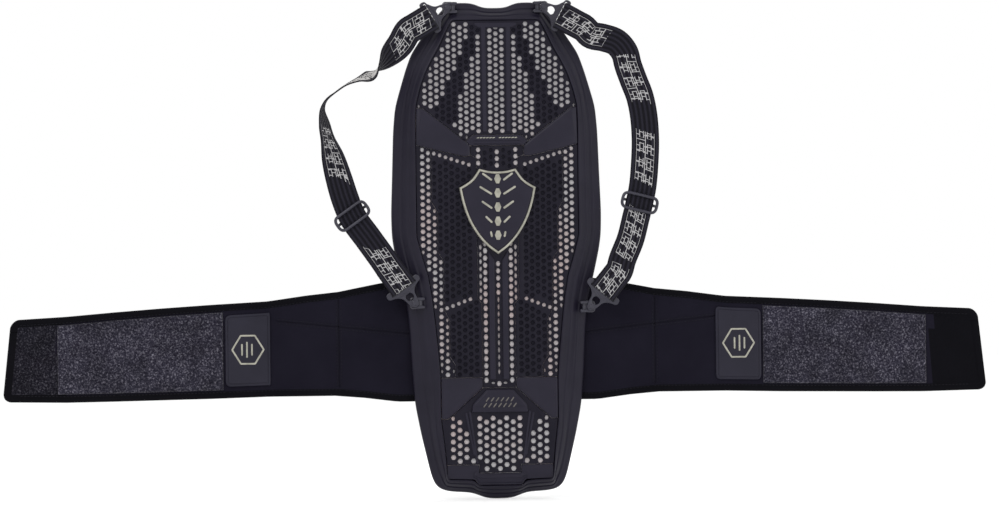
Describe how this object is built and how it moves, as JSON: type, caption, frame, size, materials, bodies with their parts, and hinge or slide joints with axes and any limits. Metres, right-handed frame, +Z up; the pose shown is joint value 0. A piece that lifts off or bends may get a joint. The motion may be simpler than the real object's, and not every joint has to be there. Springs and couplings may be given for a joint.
{
  "type": "back protector",
  "caption": "Back protector with a ribbed honeycomb plate, detachable clip-on shoulder straps with sliders, and a wide waist belt that folds round the wearer.",
  "frame": {"origin": "on the wearer's side of the plate, on its centre line, level with the lower strap anchors", "axes": "+Z up the spine, +Y out of the wearer's side towards the wearer, so the outer side faces -Y, +X along the belt"},
  "size_m": [1.032, 0.0446, 0.519],
  "materials": {
    "rim_rubber": "satin",
    "hard_plate": "satin moulded",
    "honeycomb": "matte moulded",
    "foam": "open foam",
    "liner_mesh": "spacer mesh",
    "belt_fabric": "brushed stretch fabric",
    "closure_loop": "napped loop pile",
    "label_rubber": "smooth matte",
    "webbing": "ribbed elastic webbing",
    "clip_plastic": "satin",
    "ring_plastic": "satin",
    "badge_border": "satin"
  },
  "bodies": {
    "plate": {"comfort_pad_upper": "liner_mesh", "comfort_pad_lower": "liner_mesh", "back_liner": "liner_mesh", "foam_core": "foam", "rim_frame": "rim_rubber", "upper_honeycomb": "honeycomb", "shoulder_plate_right": "hard_plate", "shoulder_plate_left": "hard_plate", "cross_bar": "hard_plate", "spine_vent_strip": "honeycomb", "mid_honeycomb_right": "honeycomb", "mid_honeycomb_left": "honeycomb", "side_vent_strip_right": "honeycomb", "side_vent_strip_left": "honeycomb", "lumbar_plate_right": "hard_plate", "lumbar_plate_left": "hard_plate", "tail_honeycomb": "honeycomb", "tail_ledge": "hard_plate", "spine_rib_right": "hard_plate", "spine_rib_left": "hard_plate", "shield_badge": "hard_plate", "shield_border": "badge_border", "lumbar_badge": "hard_plate", "belt_back_panel": "belt_fabric", "strap_left_top": "webbing", "strap_left_bottom": "webbing", "ring_left_top": "ring_plastic", "anchor_left_top": "hard_plate", "ring_left_bottom": "ring_plastic", "anchor_left_bottom": "hard_plate", "strap_right_top": "webbing", "strap_right_bottom": "webbing", "ring_right_top": "ring_plastic", "anchor_right_top": "hard_plate", "ring_right_bottom": "ring_plastic", "anchor_right_bottom": "hard_plate"},
    "wing_left_1": {"belt_left_1": "belt_fabric"},
    "wing_left_2": {"belt_left_2": "belt_fabric", "belt_label_left": "label_rubber"},
    "wing_left_3": {"belt_left_3": "belt_fabric", "closure_patch_left_1": "closure_loop"},
    "wing_left_4": {"belt_left_4": "belt_fabric", "closure_patch_left_2": "closure_loop", "hook_strip_left": "closure_loop"},
    "wing_right_1": {"belt_right_1": "belt_fabric"},
    "wing_right_2": {"belt_right_2": "belt_fabric", "belt_label_right": "label_rubber"},
    "wing_right_3": {"belt_right_3": "belt_fabric", "closure_patch_right_1": "closure_loop"},
    "wing_right_4": {"belt_right_4": "belt_fabric", "closure_patch_right_2": "closure_loop"},
    "loop_left": {"strap_left_loop": "webbing"},
    "slide_left": {"slider_left": "clip_plastic"},
    "hook_left_top": {"clip_left_top": "clip_plastic"},
    "hook_left_bottom": {"clip_left_bottom": "clip_plastic"},
    "loop_right": {"strap_right_loop": "webbing"},
    "slide_right": {"slider_right": "clip_plastic"},
    "hook_right_top": {"clip_right_top": "clip_plastic"},
    "hook_right_bottom": {"clip_right_bottom": "clip_plastic"}
  },
  "joints": [
    {"name": "belt_left_fold_1", "type": "hinge", "parent": "plate", "child": "wing_left_1", "pos_m": [-0.105, 0, -0.045], "axis": [0, 0, -1], "range_deg": [0, 45]},
    {"name": "belt_left_fold_2", "type": "hinge", "parent": "wing_left_1", "child": "wing_left_2", "pos_m": [-0.166, 0, -0.045], "axis": [0, 0, -1], "range_deg": [0, 45]},
    {"name": "belt_left_fold_3", "type": "hinge", "parent": "wing_left_2", "child": "wing_left_3", "pos_m": [-0.287, 0, -0.045], "axis": [0, 0, -1], "range_deg": [0, 45]},
    {"name": "belt_left_fold_4", "type": "hinge", "parent": "wing_left_3", "child": "wing_left_4", "pos_m": [-0.402, 0, -0.045], "axis": [0, 0, -1], "range_deg": [0, 45]},
    {"name": "belt_right_fold_1", "type": "hinge", "parent": "plate", "child": "wing_right_1", "pos_m": [0.105, 0, -0.045], "axis": [0, 0, 1], "range_deg": [0, 45]},
    {"name": "belt_right_fold_2", "type": "hinge", "parent": "wing_right_1", "child": "wing_right_2", "pos_m": [0.166, 0, -0.045], "axis": [0, 0, 1], "range_deg": [0, 45]},
    {"name": "belt_right_fold_3", "type": "hinge", "parent": "wing_right_2", "child": "wing_right_3", "pos_m": [0.28, 0, -0.045], "axis": [0, 0, 1], "range_deg": [0, 45]},
    {"name": "belt_right_fold_4", "type": "hinge", "parent": "wing_right_3", "child": "wing_right_4", "pos_m": [0.382, 0, -0.045], "axis": [0, 0, 1], "range_deg": [0, 45]},
    {"name": "strap_left_swing", "type": "hinge", "parent": "plate", "child": "loop_left", "pos_m": [-0.118, -0.024, 0.037], "axis": [-0.078, 0.0043, -0.9969], "range_deg": [0, 80]},
    {"name": "slider_left_slide", "type": "slide", "parent": "loop_left", "child": "slide_left", "axis": [0.5762, 0, -0.8173], "range_m": [0, 0.022]},
    {"name": "clip_left_top_lift", "type": "hinge", "parent": "plate", "child": "hook_left_top", "pos_m": [-0.06992, -0.0243, 0.29328], "axis": [0.5101, 0, -0.8601], "range_deg": [0, 70]},
    {"name": "clip_left_bottom_lift", "type": "hinge", "parent": "plate", "child": "hook_left_bottom", "pos_m": [-0.10118, -0.0243, 0.01478], "axis": [-0.8173, 0, -0.5762], "range_deg": [0, 70]},
    {"name": "strap_right_swing", "type": "hinge", "parent": "plate", "child": "loop_right", "pos_m": [0.12, -0.024, 0.022], "axis": [-0.0791, -0.004, 0.9969], "range_deg": [0, 80]},
    {"name": "slider_right_slide", "type": "slide", "parent": "loop_right", "child": "slide_right", "axis": [-0.2399, 0, -0.9708], "range_m": [0, 0.025]},
    {"name": "clip_right_top_lift", "type": "hinge", "parent": "plate", "child": "hook_right_top", "pos_m": [0.07036, -0.0243, 0.29405], "axis": [0.475, 0, 0.88], "range_deg": [0, 70]},
    {"name": "clip_right_bottom_lift", "type": "hinge", "parent": "plate", "child": "hook_right_bottom", "pos_m": [0.11086, -0.0243, 0.00809], "axis": [-0.7768, 0, 0.6298], "range_deg": [0, 70]}
  ],
  "couplings": [
    {"joint": "belt_left_fold_2", "follows": "belt_left_fold_1", "ratio": 1},
    {"joint": "belt_left_fold_3", "follows": "belt_left_fold_1", "ratio": 1},
    {"joint": "belt_left_fold_4", "follows": "belt_left_fold_1", "ratio": 1},
    {"joint": "belt_right_fold_2", "follows": "belt_right_fold_1", "ratio": 1},
    {"joint": "belt_right_fold_3", "follows": "belt_right_fold_1", "ratio": 1},
    {"joint": "belt_right_fold_4", "follows": "belt_right_fold_1", "ratio": 1}
  ]
}
